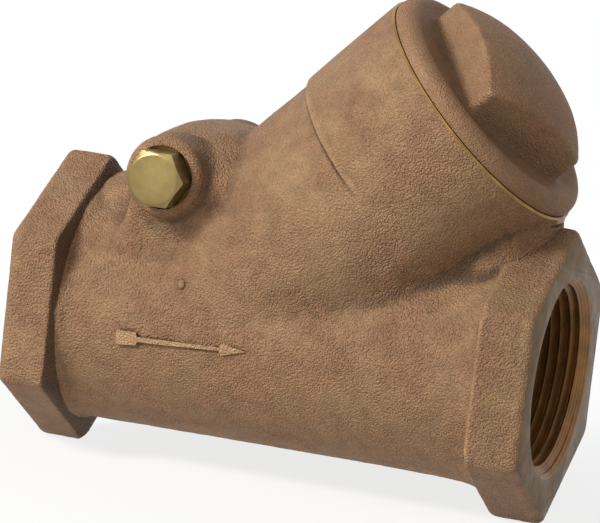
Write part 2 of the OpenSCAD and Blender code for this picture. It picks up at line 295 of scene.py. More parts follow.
# %% Root of the hinge boss
def boss_root():
    pin_x, pin_z = PIN_PLACE.x * 1000, PIN_PLACE.z * 1000
    piece = block("boss_root", (pin_x - 7.6, -20.6, 4), (pin_x + 7.6, 20.6, pin_z))
    start_edit(piece)
    bpy.ops.mesh.select_all(action="DESELECT")
    end_edit()
    for face in piece.data.polygons:
        face.select = face.normal.z < -0.5
    bpy.ops.object.mode_set(mode="EDIT")
    bpy.ops.transform.resize(value=(1.7, 0.98, 1), center_override=(mm(pin_x), 0, mm(4)))
    end_edit()
    return piece


ON_SKIRT = Matrix.Translation((mm(5.4), 0, mm(-4.4))) @ ON_PIN


def boss_web():
    """Fills the gap between the boss and the inlet hexagon, near the top of the barrel."""
    across = Matrix.Translation((mm(17), 0, mm(19.2))) @ turn(90, "X")
    outline = [
        (2, -13), (5, -11.4), (7.6, -8.6), (9.6, -5), (10.4, 0), (9.6, 5), (7.6, 8.6),
        (5, 11.4), (2, 13),
    ]
    return stand(turned("boss_web", outline, 48), across)


def joint_heel():
    """Fills the notch between the collar and the outlet hexagon with a short upright."""
    upright_axis = Matrix.Translation((mm(97.6), 0, 0))
    return stand(turned("joint_heel", [(15.4, 15), (14.8, 26), (14.5, 33)], 48), upright_axis)


body = cast_core()
print("core of the casting:", len(body.data.polygons), "faces")


# %% [markdown]
# Joined solids meet in knife-sharp valleys, and sand moulds cannot hold those: a casting
# has fillets. The solid is first remeshed into small even squares. Then only the valleys
# are smoothed: a point's weight is high where it lies close to two of the forms at once.

# %% Fillets of the casting
def squared(piece, voxel):
    modifier = piece.modifiers.new("squares", "REMESH")
    modifier.mode = "VOXEL"
    modifier.voxel_size = mm(voxel)
    return finish_modifiers(piece)


def points_of(piece):
    points = np.empty(len(piece.data.vertices) * 3)
    piece.data.vertices.foreach_get("co", points)
    return points.reshape(-1, 3)


def gap_to(outline, matrix, points):
    """How far each point lies from a turned form, in millimetres."""
    inverse = np.array(matrix.inverted())
    local = (points @ inverse[:3, :3].T + inverse[:3, 3]) * 1000
    radius, height = np.hypot(local[:, 0], local[:, 1]), local[:, 2]
    radii, heights = zip(*outline)
    side = np.abs(radius - np.interp(height, heights, radii))
    beyond = np.maximum(heights[0] - height, height - heights[-1])
    return np.hypot(side, np.maximum(beyond, 0))


def hexagon_gap(points):
    x, y, z = points.T * 1000
    across = np.maximum(np.abs(y), np.maximum(np.abs(y / 2 + z * 0.866), np.abs(y / 2 - z * 0.866)))
    from_end = np.minimum(x, RUN_LENGTH - x)
    return np.hypot(np.abs(across - HEX_ACROSS / 2), np.maximum(from_end - 11.5, 0))


def soften(piece, weights, times, name):
    piece.vertex_groups.clear()
    group = piece.vertex_groups.new(name=name)
    for index in np.flatnonzero(weights > 0.02):
        group.add([int(index)], float(weights[index]), "REPLACE")
    modifier = piece.modifiers.new(name, "SMOOTH")
    modifier.factor = 0.5
    modifier.iterations = times
    modifier.vertex_group = name
    finish_modifiers(piece)
    piece.vertex_groups.clear()


def near_two(gaps, width):
    second = np.sort(np.stack(gaps), axis=0)[1]
    weight = np.clip(1.25 - second / width, 0, 1)
    return weight * weight * (3 - 2 * weight)


def soften_valleys(piece):
    points = points_of(piece)
    barrel = gap_to(BARREL, ON_INLET, points)
    branch = gap_to(NECK, ON_BRANCH, points)
    boss = gap_to(BOSS, ON_PIN, points)
    skirt = gap_to(BOSS_SKIRT, ON_SKIRT, points)
    soften(piece, near_two([barrel, branch, boss, skirt], 5), 40, "valleys")
    points = points_of(piece)
    root = np.hypot(points[:, 0] * 1000 - PIN_PLACE.x * 1000, 0)
    low = (points[:, 2] < PIN_PLACE.z - mm(5)) & (points[:, 2] > mm(1))
    soften(piece, np.clip(2.2 - root / 9, 0, 1) * low, 60, "root")


VOXEL = 0.85
squared(body, VOXEL)
soften_valleys(body)
print("filleted casting:", len(body.data.polygons), "faces")


# %% [markdown]
# The sand leaves the skin a little uneven. A displacement of a tenth of a millimetre by a
# cloud pattern does that, before any machining, so the machined faces stay true.

# %% Sand-cast skin
def roughen(piece, strength, size, name):
    clouds = bpy.data.textures.new(name, "CLOUDS")
    clouds.noise_scale = mm(size)
    clouds.noise_depth = 3
    modifier = piece.modifiers.new(name, "DISPLACE")
    modifier.texture = clouds
    modifier.texture_coords = "LOCAL"
    modifier.strength = mm(strength)
    modifier.mid_level = 0.5
    finish_modifiers(piece)


roughen(body, 0.22, 7, "lumps")
roughen(body, 0.14, 1.8, "grains")


# %% [markdown]
# The hexagons, the collar and the pads of the boss keep crisper edges than the rest, so
# each is shaped in its own finer mesh and joined on after the fillets are made.

# %% Joining the crisp parts
def collar():
    piece = stand(turned("collar", COLLAR, 180), ON_BRANCH)
    roughen(piece, 0.16, 7, "lumps")
    roughen(piece, 0.1, 1.8, "grains")
    return piece


def boss_pad(side):
    outline = [
        (8.8, 17), (8.75, 21.8), (8.65, 22.7), (8.4, 23.4), (8.05, 23.9), (7.6, 24.2),
        (7.1, 24.3), (6, 24.3),
    ]
    flip = turn(0 if side == "front" else 180, "X")
    piece = stand(turned("boss_pad", outline, 72), ON_PIN @ flip)
    roughen(piece, 0.35, 2.4, "raw_rim")
    return piece


combine(body, hexagon_end("inlet", 10.2, ON_INLET), "UNION")
combine(body, hexagon_end("outlet", 11.3, ON_OUTLET), "UNION")
combine(body, collar(), "UNION")
combine(body, boss_pad("front"), "UNION")
combine(body, boss_pad("back"), "UNION")
print("joined casting:", len(body.data.polygons), "faces")


# %% [markdown]
# The flow arrow stands on the side of the casting. It is drawn flat with its tail, shaft
# and head, thickened, and laid on the barrel so that only a raised edge shows.

# %% Flow arrow
ARROW_TAIL = (25.3, -2.7)
ARROW_TIP = (54.3, -1.3)
ARROW_LIFT = 0.72


def arrow_points():
    along = Vector(ARROW_TIP) - Vector(ARROW_TAIL)
    length = along.length
    outline = [
        (0, -1.6), (4.4, -1.35), (4.7, -0.6), (length - 6, -0.4), (length - 5.4, -1.3),
        (length, 0), (length - 5.4, 1.3), (length - 6, 0.35), (4.7, 0.5), (4.4, 1.5), (0, 1.5),
    ]
    forward = along.normalized()
    side = Vector((-forward.y, forward.x))
    return [Vector(ARROW_TAIL) + forward * u + side * v for u, v in outline]


def barrel_front(x, z, lift):
    radius = np.interp(x, [h for r, h in BARREL], [r for r, h in BARREL]) + lift
    return -math.sqrt(radius ** 2 - z ** 2)


def ring_of(name, places):
    """A closed ring of edges through the given places, started from a circle."""
    bpy.ops.object.select_all(action="DESELECT")
    bpy.ops.mesh.primitive_circle_add(vertices=len(places), radius=mm(1))
    piece = bpy.context.object
    piece.name = name
    for vertex, place in zip(piece.data.vertices, places):
        vertex.co = place
    return piece


def flow_arrow():
    piece = ring_of("flow_arrow", [(mm(p.x), 0, mm(p.y)) for p in arrow_points()])
    start_edit(piece)
    bpy.ops.mesh.edge_face_add()
    bpy.ops.mesh.quads_convert_to_tris()
    bpy.ops.mesh.subdivide(number_cuts=3)
    bpy.ops.mesh.extrude_region_move(TRANSFORM_OT_translate={"value": (0, mm(4), 0)})
    bpy.ops.mesh.select_all(action="SELECT")
    bpy.ops.mesh.normals_make_consistent(inside=False)
    end_edit()
    for vertex in piece.data.vertices:
        fade = 1 - 0.6 * max(0, vertex.co.x * 1000 - 36) / 18
        lift = ARROW_LIFT * fade if vertex.co.y < mm(2) else -2
        vertex.co.y = mm(barrel_front(vertex.co.x * 1000, vertex.co.z * 1000, lift))
    return piece


def cast_pimple(x, z):
    """A small blister, where a pocket broke out of the sand."""
    bpy.ops.object.select_all(action="DESELECT")
    bpy.ops.mesh.primitive_uv_sphere_add(
        segments=16, ring_count=10, radius=mm(1), scale=(0.8, 0.7, 1.1),
        location=(mm(x), mm(barrel_front(x, z, 0.8)), mm(z)),
    )
    piece = bpy.context.object
    bpy.ops.object.transform_apply(location=True, scale=True)
    return piece


combine(body, flow_arrow(), "UNION")
combine(body, cast_pimple(38, 10.4), "UNION")
print("with flow arrow:", len(body.data.polygons), "faces")


# %% [markdown]
# A pipe thread is cut with a taper tap. The tap is a cam: a closed ring whose radius rises
# and falls once round, like the thread's own profile. Screwed along its axis it sweeps the
# whole helix, and a taper of one in sixteen is then put on its points.

# %% Taper tap for the pipe thread
PITCH = 25.4 / 11.5
THREAD_DEPTH = 1.75
PITCH_RADIUS = 20.11


def thread_wave(share):
    """Height of the thread form, from -0.5 to 0.5, at a share of one pitch."""
    triangle = abs((share % 1) * 2 - 1) * 2 - 1
    return max(-1, min(1, triangle * 1.12)) / 2


def screw_form(name, middle_radius, depth, pitch, turns, sides=32, steps=32):
    ring = []
    for side in range(sides):
        share = side / sides
        radius = middle_radius + depth * thread_wave(share)
        angle = share * 2 * math.pi
        ring.append((mm(radius * math.cos(angle)), mm(radius * math.sin(angle)), 0))
    piece = ring_of(name, ring)
    screw = piece.modifiers.new("screw", "SCREW")
    screw.angle = 2 * math.pi * turns
    screw.screw_offset = mm(pitch * turns)
    screw.steps = steps * turns
    screw.render_steps = steps * turns
    screw.use_merge_vertices = False
    finish_modifiers(piece)
    start_edit(piece)
    bpy.ops.mesh.select_all(action="DESELECT")
    bpy.ops.mesh.select_non_manifold()
    bpy.ops.mesh.fill_holes(sides=0)
    bpy.ops.mesh.select_all(action="SELECT")
    bpy.ops.mesh.normals_make_consistent(inside=False)
    end_edit()
    return piece


def pipe_tap(matrix):
    start = -PITCH
    tap = screw_form("tap", PITCH_RADIUS, THREAD_DEPTH, PITCH, 9)
    stand(tap, Matrix.Translation((0, 0, mm(start))))
    for vertex in tap.data.vertices:
        deep = vertex.co.z * 1000
        radius = math.hypot(vertex.co.x, vertex.co.y) * 1000
        smaller = (radius - deep / 32) / radius
        vertex.co.x *= smaller
        vertex.co.y *= smaller
    return stand(tap, matrix)


# %% [markdown]
# Machining comes after casting: a planer takes the end faces and the bonnet joint, and
# boring bars and drills open the ways inside. The faces they leave get their finishes
# later, picked by place, so the bores shine where the casting stays matte.

# %% Cutters for the inside
WEB_FOOT = -0.2
WEB_TOP = 3
SEAT_FACE = 5
EDGE_R = 28.2


def planer(matrix):
    return stand(block("planer", (-60, -60, -30), (60, 60, 0)), matrix)


def joint_facer():
    return stand(turned("joint_facer", [(29.6, JOINT_H), (29.6, JOINT_H + 8)]), ON_BRANCH)


def collar_edge():
    """Ring cutter for the narrow chamfer that faces the bonnet's rim."""
    ring = turned("collar_edge", [(30, JOINT_H - 2), (30, JOINT_H + 0.5)])
    inner = turned("inner", [
        (EDGE_R + 0.9, JOINT_H - 3), (EDGE_R + 0.9, JOINT_H - 0.9), (EDGE_R - 1, JOINT_H + 1),
    ])
    return stand(combine(ring, inner), ON_BRANCH)


def countersink(matrix):
    cone = turned("countersink", [(22.6, -1), (21.6, 0), (19.4, 2.2)])
    return stand(cone, matrix)


def keep_one_side(piece, height, keep_above):
    """Cuts a piece across the branch axis and closes the cut."""
    start_edit(piece)
    cut_place = ON_BRANCH @ Vector((0, 0, mm(height)))
    bpy.ops.mesh.bisect(
        plane_co=cut_place, plane_no=ON_BRANCH.col[2][:3], use_fill=True,
        clear_inner=keep_above, clear_outer=not keep_above,
    )
    bpy.ops.mesh.select_all(action="SELECT")
    bpy.ops.mesh.normals_make_consistent(inside=False)
    end_edit()
    return piece


def inlet_way():
    way = stand(turned("inlet_way", [(19.2, 16), (19.4, 20), (19.4, 70)]), ON_INLET)
    return keep_one_side(way, WEB_FOOT, False)


def outlet_way():
    way = stand(turned("outlet_way", [(19.2, 16), (19.5, 20), (19.5, 75)]), ON_OUTLET)
    return keep_one_side(way, WEB_TOP, True)


def chamber():
    outline = [
        (15.9, WEB_FOOT - 1), (15.9, SEAT_FACE - 0.5), (16.4, SEAT_FACE), (18.1, SEAT_FACE),
        (18.4, SEAT_FACE - 0.3), (18.4, WEB_TOP), (21.8, WEB_TOP), (21.8, 13), (23, 26),
        (23, JOINT_H - 15), (24, JOINT_H - 15), (24, JOINT_H + 3),
    ]
    return stand(turned("chamber", outline), ON_BRANCH)


def hinge_pocket():
    inverse = ON_BRANCH.inverted() @ PIN_PLACE
    behind, along = inverse.x * 1000, inverse.z * 1000
    room = turned("hinge_room", [(6.6, -7.3), (6.6, 7.3)], 64)
    stand(room, ON_PIN)
    slot = block("slot", (behind, -7.3, along - 8), (0, 7.3, along + 6.6))
    combine(room, stand(slot, ON_BRANCH), "UNION")
    lift = block("lift", (behind + 2, -7.3, along + 6), (0, 7.3, along + 11))
    for vertex in lift.data.vertices:
        if vertex.co.x < mm(-20) and vertex.co.z > mm(along + 8):
            vertex.co.x = mm(-23)
    return combine(room, stand(lift, ON_BRANCH), "UNION")


def pin_bore():
    return stand(turned("pin_bore", [(3.02, -30), (3.02, 30)], 48), ON_PIN)


def plug_bore(side):
    outline = [
        (4.9, 16.6), (4.9, 22.6), (5.5, 23.2), (6.65, 23.2), (6.8, 23.35), (6.8, 30),
    ]
    flip = turn(0 if side == "front" else 180, "X")
    return stand(turned("plug_bore", outline, 64), ON_PIN @ flip)


# %% [markdown]
# The hinge plugs sit in spot faces, cut a little below the pads. A thin raw rim of casting
# is left round each one.

# %% Machining the body
for cutter in [planer(ON_INLET), planer(ON_OUTLET), joint_facer(), collar_edge()]:
    combine(body, cutter)
for cutter in [inlet_way(), outlet_way(), chamber(), hinge_pocket(), pin_bore()]:
    combine(body, cutter)
for side in ["front", "back"]:
    combine(body, plug_bore(side))
for end_matrix in [ON_INLET, ON_OUTLET]:
    combine(body, countersink(end_matrix))
    combine(body, pipe_tap(end_matrix))
print("machined casting:", len(body.data.polygons), "faces")
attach(body, "valve")
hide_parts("body")



# %% [markdown]
# The bonnet is a second casting. A rounded rim stands on the joint, a soft valley lies
# inside it, and a square for the wrench rises from the valley under a domed crown. The dome
# is a large sphere, and the square is what the sphere and a square bar have in common.

# %% Bonnet casting
CROWN_R = 43.1
CROWN_TOP = 91.3
SQUARE = 30.8
SQUARE_TURN = 47
RIM = [
    (27.4, JOINT_H - 1), (28.1, JOINT_H), (28.1, JOINT_H + 1.1), (27.9, JOINT_H + 2.0),
    (27.45, JOINT_H + 2.8), (26.8, JOINT_H + 3.45), (26, JOINT_H + 3.9), (25.2, JOINT_H + 4.05),
    (24.3, JOINT_H + 3.85), (23.3, JOINT_H + 3.4), (22.2, JOINT_H + 2.95), (20.5, JOINT_H + 2.7),
    (19, JOINT_H + 2.6), (10, JOINT_H + 2.6),
]


def crowned_square():
    piece = block(
        "square", (-SQUARE / 2, -SQUARE / 2, JOINT_H + 2), (SQUARE / 2, SQUARE / 2, 96)
    )
    bevel_edges(piece, upright, 1.5, 5)
    stand(piece, turn(SQUARE_TURN, "Z"))
    bpy.ops.object.select_all(action="DESELECT")
    bpy.ops.mesh.primitive_uv_sphere_add(
        segments=96, ring_count=64, radius=mm(CROWN_R), location=(0, 0, mm(CROWN_TOP - CROWN_R))
    )
    crown = bpy.context.object
    bpy.ops.object.transform_apply(location=True)
    return combine(piece, crown, "INTERSECT")


def cast_bonnet():
    piece = combine(turned("cast_bonnet", RIM), crowned_square(), "UNION")
    stand(piece, ON_BRANCH)
    squared(piece, 0.42)
    soften(piece, np.ones(len(piece.data.vertices)), 11, "skin")
    local = points_of(piece) @ np.array(ON_BRANCH.inverted())[:3, :3].T
    local = (local + np.array(ON_BRANCH.inverted())[:3, 3]) * 1000
    height = local[:, 2] - JOINT_H
    radius = np.hypot(local[:, 0], local[:, 1])
    valley = np.clip(1.5 - np.abs(height - 3.4) / 2, 0, 1) * (radius < 23.5)
    soften(piece, valley, 40, "valley")
    roughen(piece, 0.12, 5, "bonnet_lumps")
    return piece


bonnet = cast_bonnet()
print("bonnet casting:", len(bonnet.data.polygons), "faces")


# %% [markdown]
# The underside of the bonnet is faced, and a hollow skirt with a straight thread screws
# into the branch. The thread is the cam form again, this time as a solid and not a cutter.

# %% Machined underside and skirt of the bonnet
def bonnet_skirt():
    thread = screw_form("skirt", 23.55, 0.7, 1.5, 10)
    stand(thread, Matrix.Translation((0, 0, mm(JOINT_H - 14.3))))
    trim = turned("trim", [
        (22.6, JOINT_H - 14), (23.9, JOINT_H - 12.8), (23.9, JOINT_H - 1.6),
        (22.8, JOINT_H - 1.2), (22.8, JOINT_H + 0.4),
    ])
    combine(thread, trim, "INTERSECT")
    core = turned("core", [(22.8, JOINT_H - 2), (22.8, JOINT_H + 1)])
    return stand(combine(thread, core, "UNION"), ON_BRANCH)


def bonnet_core():
    return stand(turned("core", [
        (20.4, JOINT_H - 15), (19.9, JOINT_H - 14), (19.9, JOINT_H - 3), (13.7, JOINT_H + 1),
        (10.7, JOINT_H + 4.6), (9.7, JOINT_H + 6.1),
    ]), ON_BRANCH)


def joint_gap():
    """Ring cutter for the fine gap that stays open round the tightened joint."""
    ring = turned("joint_gap", [(31, JOINT_H - 1), (31, JOINT_H + 0.2)])
    return stand(combine(ring, turned("inner", [(27.5, JOINT_H - 2), (27.5, JOINT_H + 1)])), ON_BRANCH)


facer = stand(turned("facer", [(40, JOINT_H - 6), (40, JOINT_H)]), ON_BRANCH)
combine(bonnet, facer)
combine(bonnet, joint_gap())
combine(bonnet, bonnet_skirt(), "UNION")
combine(bonnet, bonnet_core())
print("machined bonnet:", len(bonnet.data.polygons), "faces")
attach(bonnet, "valve")
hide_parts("bonnet")


# %% [markdown]
# The side plugs are turned from hexagon brass bar: the bar gives the six flats, and the
# lathe gives the chamfered crown, the neck and the thread.

# %% Side plugs
PLUG_AF = 11.4
PAD_FLOOR = 23.2


def side_plug(name, matrix):
    corner = PLUG_AF / math.sqrt(3)
    bpy.ops.object.select_all(action="DESELECT")
    bpy.ops.mesh.primitive_cylinder_add(
        vertices=6, radius=mm(corner), depth=mm(6.3), location=(0, 0, mm(3.25))
    )
    piece = bpy.context.object
    piece.name = name
    stand(piece, Matrix.Identity(4))
    start_edit(piece)
    bpy.ops.mesh.bevel(offset=mm(0.18), segments=2, affect="EDGES")
    end_edit()
    crown = turned("crown", [
        (corner - 0.7, 0), (corner + 0.2, 0.45), (corner + 0.2, 5.5), (corner - 0.35, 5.75),
        (corner - 1.15, 6.28), (corner - 1.35, 6.38), (corner - 1.6, 6.4),
    ])
    combine(piece, crown, "INTERSECT")
    thread = screw_form("plug_thread", 4.35, 0.85, 1.41, 5, 32)
    stand(thread, Matrix.Translation((0, 0, mm(-6.6))))
    trim = turned("trim", [(3.7, -6), (4.75, -5.1), (4.75, -1), (4.1, -0.7), (4.1, 0.3)])
    combine(thread, trim, "INTERSECT")
    neck = turned("neck", [(4.1, -1.2), (4.1, 0.6)], 48)
    combine(thread, neck, "UNION")
    combine(piece, thread, "UNION")
    stand(piece, matrix @ Matrix.Translation((0, 0, mm(PAD_FLOOR))))
    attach(piece, "valve")
    return piece


plug_front = side_plug("brass_plug_front", ON_PIN @ turn(30, "Z"))
plug_back = side_plug("brass_plug_back", ON_PIN @ turn(180, "X"))
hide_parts("side_plug_front")
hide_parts("side_plug_back")
print("plug head across its flats:", PLUG_AF, "mm")


# %% [markdown]
# Inside hang the moving parts. The hanger is a small casting: an eye on the hinge pin, an
# arm, and a hub for the disc. It is joined from three plain forms, remeshed and softened
# like the body, and then its two holes and the faces of its eye are cut.

# %% Hanger casting
HUB_FOOT, HUB_TOP = 11.6, 16.2
pin_in_branch = ON_BRANCH.inverted() @ PIN_PLACE
PIN_BEHIND, PIN_ALONG = pin_in_branch.x * 1000, pin_in_branch.z * 1000


def hanger_arm():
    piece = block("arm", (PIN_BEHIND, -4.6, HUB_FOOT + 0.6), (-3, 4.6, HUB_TOP - 0.6))
    for vertex in piece.data.vertices:
        if vertex.co.x < mm(-10):
            top = vertex.co.z > mm(14)
            vertex.co.z = mm(PIN_ALONG + (2.2 if top else -3.2))
            vertex.co.y *= 1.3
    return stand(piece, ON_BRANCH)


def cast_hanger():
    piece = stand(turned("cast_hanger", [(5.6, -6.6), (5.6, 6.6)], 64), ON_PIN)
    hub = turned("hub", [(6.6, HUB_FOOT), (7, HUB_FOOT + 0.5), (6.8, HUB_TOP)], 64)
    combine(piece, stand(hub, ON_BRANCH), "UNION")
    combine(piece, hanger_arm(), "UNION")
    squared(piece, 0.4)
    soften(piece, np.ones(len(piece.data.vertices)), 12, "fillets")
    roughen(piece, 0.12, 1.6, "hanger_grains")
    for side in (1, -1):
        place = ON_PIN @ turn(90 - 90 * side, "X") @ Matrix.Translation((0, 0, mm(7)))
        combine(piece, stand(turned("eye_facer", [(9, 0), (9, 3)], 32), place))
    combine(piece, stand(turned("eye_hole", [(3.06, -9), (3.06, 9)], 48), ON_PIN))
    hub_hole = turned("hub_hole", [(3.66, 8), (3.66, 20)], 48)
    combine(piece, stand(hub_hole, ON_BRANCH))
    return piece


hanger = cast_hanger()
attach(hanger, "hanger")
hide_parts("disc_hanger")
print("hanger:", len(hanger.data.polygons), "faces")


# %% [markdown]
# The disc holder is turned in one piece with its stud. The groove under its rim holds the
# soft disc, and both ends of the stud carry a rolled thread, made with the screw form.

# %% Disc holder
SOFT_FOOT, SOFT_TOP, HOLDER_TOP = 5.05, 8.05, 10.45
STUD_R = 3.6
STUD_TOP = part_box("disc_holder")[1]
SPLIT_PIN_H = sum((ON_BRANCH.inverted() @ Vector(corner)).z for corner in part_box("nut_split_pin"))
SPLIT_PIN_H *= 500


def stud_thread(foot, top):
    turns = math.ceil((top - foot) / 1.25) + 2
    thread = screw_form("stud_thread", STUD_R - 0.36, 0.7, 1.25, turns, 24, 24)
    stand(thread, Matrix.Translation((0, 0, mm(foot - 1.25))))
    trim = turned("trim", [
        (STUD_R - 0.9, foot), (STUD_R + 0.01, foot + 0.7), (STUD_R + 0.01, top - 0.7),
        (STUD_R - 0.9, top),
    ], 48)
    return combine(thread, trim, "INTERSECT")


def disc_holder():
    piece = turned("turned_disc_holder", [
        (3.1, 4.2), (3.58, 4.6), (3.58, 8.06), (17.7, 8.06), (17.7, 5.9), (17.85, 5.76),
        (18.85, 5.76), (19, 5.9), (19, 8.9), (18.7, 9.3), (17.7, 10.35), (17.4, HOLDER_TOP),
        (13, HOLDER_TOP), (12.6, HOLDER_TOP - 0.3), (9, HOLDER_TOP - 0.3), (8.6, HOLDER_TOP),
        (5.8, HOLDER_TOP), (5.8, 11.3), (5.65, 11.45), (3.6, 11.45), (3.58, 16.4), (3.1, 16.8),
    ])
    combine(piece, stud_thread(0.36, 5), "UNION")
    combine(piece, stud_thread(16, STUD_END), "UNION")
    hole = stand(turned("split_hole", [(0.75, -6), (0.75, 6)], 24), turn(90, "X"))
    combine(piece, stand(hole, Matrix.Translation((0, 0, mm(SPLIT_PIN_H)))))
    return stand(piece, ON_BRANCH)


STUD_END = SPLIT_PIN_H + 1.65
holder = disc_holder()
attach(holder, "disc")
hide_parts("disc_holder")
print("stud ends at", round(STUD_END, 2), "mm, split pin at", round(SPLIT_PIN_H, 2), "mm")


# %% [markdown]
# The soft disc is moulded, with rounded edges. The split pin is a doubled wire: an eye at
# one end, and two legs that are bent apart at the other so that it cannot slide out.

# %% Soft disc and split pin
def soft_disc():
    piece = turned("moulded_seat_disc", [
        (6.8, 5.66), (6.82, 5.2), (6.95, SOFT_FOOT), (17.2, SOFT_FOOT), (17.5, 5.15),
        (17.66, 5.5), (17.66, 7.9), (17.5, 8.03), (3.7, 8.03), (3.64, 7.9), (3.64, 5.66),
    ])
    return stand(piece, ON_BRANCH)


def wire_leg(lean):
    """One half of the doubled wire, bent by leaning its last stretch."""
    bpy.ops.object.select_all(action="DESELECT")
    bpy.ops.mesh.primitive_circle_add(
        vertices=16, radius=mm(0.33), fill_type="NGON", rotation=(math.radians(90), 0, 0),
        location=(0, mm(-4.3), mm(0.34 * lean)),
    )
    piece = bpy.context.object
    bpy.ops.object.transform_apply(location=True, rotation=True)
    start_edit(piece)
    for rise, ahead in [(0, 7.9), (0.12, 0.35), (0.3, 0.35), (0.5, 0.3)]:
        step = (0, mm(ahead), mm(rise * lean))
        bpy.ops.mesh.extrude_region_move(TRANSFORM_OT_translate={"value": step})
    bpy.ops.mesh.select_all(action="SELECT")
    bpy.ops.mesh.normals_make_consistent(inside=False)
    end_edit()
    return piece


def split_pin():
    bpy.ops.object.select_all(action="DESELECT")
    bpy.ops.mesh.primitive_torus_add(
        major_segments=32, minor_segments=12, major_radius=mm(0.8), minor_radius=mm(0.33),
        rotation=(0, math.radians(90), 0), location=(0, mm(-5.05), 0),
    )
    piece = bpy.context.object
    piece.name = "bent_split_pin"
    bpy.ops.object.transform_apply(location=True, rotation=True)
    for lean in (1, -1):
        combine(piece, wire_leg(lean), "UNION")
    return stand(piece, ON_BRANCH @ Matrix.Translation((0, 0, mm(SPLIT_PIN_H))))


seat_disc, bent_pin = soft_disc(), split_pin()
for piece, node, slot_name in [
    (seat_disc, "seat_disc", "soft_seat"), (bent_pin, "nut_split_pin", "turned_bronze")
]:
    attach(piece, "disc")
    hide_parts(node)
print("soft disc", round(SOFT_TOP - SOFT_FOOT, 2), "mm thick")


# %% [markdown]
# Wear follows the shape: edges that stand out are rubbed bright, and corners that
# lie deep are given painted shade. So each point is compared with its smoothed neighbourhood. How far it
# stands out, in tenths of a millimetre, is kept on the mesh for the materials to read.

# %% Measuring edges and hollows
def mark_edges(piece, passes, full_scale):
    mesh = piece.data
    points = points_of(piece) * 1000
    pairs = np.empty(len(mesh.edges) * 2, dtype=np.int32)
    mesh.edges.foreach_get("vertices", pairs)
    first, second = pairs.reshape(-1, 2).T
    closeness = 1 / np.maximum(np.linalg.norm(points[first] - points[second], axis=1), 0.3) ** 2
    count = len(points)
    total = np.bincount(first, closeness, count) + np.bincount(second, closeness, count)
    smooth = points.copy()
    for _ in range(passes):
        for axis in range(3):
            pull = np.bincount(first, closeness * smooth[second, axis], count)
            pull += np.bincount(second, closeness * smooth[first, axis], count)
            smooth[:, axis] = (smooth[:, axis] + pull / np.maximum(total, 1e-9)) / 2
    normals = np.empty(count * 3, dtype=np.float32)
    mesh.vertex_normals.foreach_get("vector", normals)
    proud = ((points - smooth) * normals.reshape(-1, 3)).sum(axis=1)
    values = np.clip(proud / full_scale, -1, 1).astype(np.float32)
    mesh.attributes.new("proud", "FLOAT", "POINT").data.foreach_set("value", values)
    return values


def mark_coarse(piece):
    """The flats of the hexagons came out of rougher sand than the rest, most at the outlet."""
    points = points_of(piece)
    from_end = np.minimum(points[:, 0] * 1000, RUN_LENGTH - points[:, 0] * 1000)
    on_flat = (hexagon_gap(points) < 0.5) & (from_end > 2.2) & (from_end < 10.5)
    values = on_flat * np.where(points[:, 0] > mm(58), 0.4, 0.1).astype(np.float32)
    piece.data.attributes.new("coarse", "FLOAT", "POINT").data.foreach_set("value", values)


def mark_arrow(piece):
    """The raised arrow is rubbed wherever it stands above the barrel."""
    points = points_of(piece) * 1000
    x, y, z = points.T
    barrel = np.interp(x, [h for r, h in BARREL], [r for r, h in BARREL])
    raised = np.hypot(y, z) - barrel > 0.2
    raised &= (y < 0) & (np.abs(z + 2) < 2.6) & (x > 24.8) & (x < 50)
    values = np.empty(len(points), dtype=np.float32)
    attribute = piece.data.attributes["proud"].data
    attribute.foreach_get("value", values)
    values[raised] = np.maximum(values[raised], 1)
    attribute.foreach_set("value", values)


def paint_shade_marks(piece):
    """Paints shadow behind the inlet hexagon and shade beside the pads, and keeps the pads' rims hardly rubbed."""
    points = points_of(piece) * 1000
    x, y, z = points.T
    normals = np.empty(len(points) * 3, dtype=np.float32)
    piece.data.vertex_normals.foreach_get("vector", normals)
    facing = normals.reshape(-1, 3)[:, 0]
    from_pin = np.hypot(x - PIN_PLACE.x * 1000, z - PIN_PLACE.z * 1000)
    # Painted shadow: faces behind the inlet hexagon that turn away from the key light, towards +x, are marked
    # dark.
    step = np.clip((facing - 0.25) / 0.35, 0, 1) * (x > 10) * (x < 21) * (from_pin > 13)
    # Painted shade: a band round each pad, on its side towards +x, is marked dark.
    beside = np.clip(1 - np.abs(from_pin - 9.5) / 1.7, 0, 1)
    beside *= np.clip((x - PIN_PLACE.x * 1000 + 4) / 6, 0, 1) * (np.abs(y) > 15)
    beside *= from_pin > 8.5
    values = np.empty(len(points), dtype=np.float32)
    attribute = piece.data.attributes["proud"].data
    attribute.foreach_get("value", values)
    values = np.where((from_pin < 10) & (np.abs(y) > 18), np.minimum(values, 0.35), values)
    for painted_shade in (step, beside):
        values = np.where(painted_shade > 0, np.minimum(values, -0.75 * painted_shade), values)
    attribute.foreach_set("value", values.astype(np.float32))


mark_coarse(body)
for piece, passes, full_scale in [(body, 14, 0.3), (bonnet, 14, 0.3), (hanger, 10, 0.3)]:
    values = mark_edges(piece, passes, full_scale)
    print(piece.name, "edge share:", round(float((values > 0.5).mean()), 3))
mark_arrow(body)
# Paints shade behind the inlet hexagon and beside the pads.
paint_shade_marks(body)


# %% [markdown]
# Materials are built from nodes. One function adds a node with its settings and links, and
# another turns a colour picked as a hex value into the linear light that Blender mixes.
# Patterns are laid out in millimetres: the object's own coordinates, times a thousand.

# %% Node helpers
def colour(hex_value):
    parts = [int(hex_value[i:i + 2], 16) / 255 for i in (1, 3, 5)]
    linear = [p / 12.92 if p <= 0.04045 else ((p + 0.055) / 1.055) ** 2.4 for p in parts]
    return (*linear, 1)


